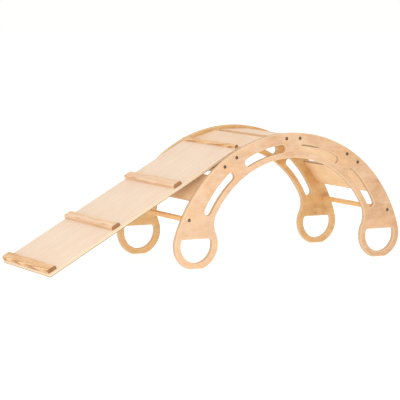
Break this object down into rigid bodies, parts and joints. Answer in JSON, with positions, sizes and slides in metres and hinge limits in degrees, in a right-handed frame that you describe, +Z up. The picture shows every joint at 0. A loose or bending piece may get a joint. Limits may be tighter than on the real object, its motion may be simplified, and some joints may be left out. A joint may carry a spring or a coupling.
{
  "type": "climbing arch rocker with ramp",
  "caption": "Plywood climbing arch with curved slatted top, which turns over into a rocker, and a lift-off ramp with crosswise battens hooked over one side.",
  "frame": {"origin": "middle of the whole object's length and width, on the floor that the feet and the ramp's lower end stand on", "axes": "+X along the object from the ramp's lower end towards the far foot, +Y across it towards the left side as seen when climbing the ramp, +Z up"},
  "size_m": [1.4812, 0.44, 0.483],
  "materials": {
    "panel_ply": "warm birch ply, clear satin lacquer, edges eased and showing the plies",
    "board_ply": "warm birch ply slats, clear satin lacquer, eased edges",
    "bar_wood": "solid pale wood bar, clear satin lacquer",
    "ramp_ply": "pale birch ply, grain along its length, matt lacquer",
    "batten_wood": "solid pine strip with strong grain, matt lacquer",
    "dark_steel": "darkened steel with a hexagon socket",
    "bright_steel": "zinc plated, slightly dull"
  },
  "bodies": {
    "arch": {"right_side_panel": "panel_ply", "left_side_panel": "panel_ply", "top_board": "board_ply", "upper_board_ramp_side": "board_ply", "upper_board_far_side": "board_ply", "middle_board_ramp_side": "board_ply", "middle_board_far_side": "board_ply", "lower_board_ramp_side": "board_ply", "lower_board_far_side": "board_ply", "leg_bar_ramp_side": "bar_wood", "leg_bar_far_side": "bar_wood", "top_board_screw_a_right": "dark_steel", "top_board_screw_b_right": "dark_steel", "middle_board_ramp_side_screw_a_right": "dark_steel", "middle_board_ramp_side_screw_b_right": "dark_steel", "middle_board_far_side_screw_a_right": "dark_steel", "middle_board_far_side_screw_b_right": "dark_steel", "leg_bar_ramp_side_screw_right": "dark_steel", "leg_bar_far_side_screw_right": "dark_steel", "top_board_screw_a_left": "dark_steel", "top_board_screw_b_left": "dark_steel", "middle_board_ramp_side_screw_a_left": "dark_steel", "middle_board_ramp_side_screw_b_left": "dark_steel", "middle_board_far_side_screw_a_left": "dark_steel", "middle_board_far_side_screw_b_left": "dark_steel", "leg_bar_ramp_side_screw_left": "dark_steel", "leg_bar_far_side_screw_left": "dark_steel"},
    "ramp": {"ramp_board": "ramp_ply", "hook_cleat": "batten_wood", "batten_1": "batten_wood", "batten_2": "batten_wood", "batten_3": "batten_wood", "batten_4": "batten_wood", "batten_1_screw_a": "bright_steel", "batten_1_screw_b": "bright_steel", "batten_1_screw_c": "bright_steel", "batten_2_screw_a": "bright_steel", "batten_2_screw_b": "bright_steel", "batten_2_screw_c": "bright_steel", "batten_3_screw_a": "bright_steel", "batten_3_screw_b": "bright_steel", "batten_3_screw_c": "bright_steel", "cleat_screw_a": "bright_steel", "cleat_screw_b": "bright_steel", "cleat_screw_c": "bright_steel"}
  },
  "joints": [
    {"name": "ramp_lift_off", "type": "slide", "parent": "arch", "child": "ramp", "axis": [-0.4865, 0, 0.8737], "range_m": [0, 0.15]}
  ]
}
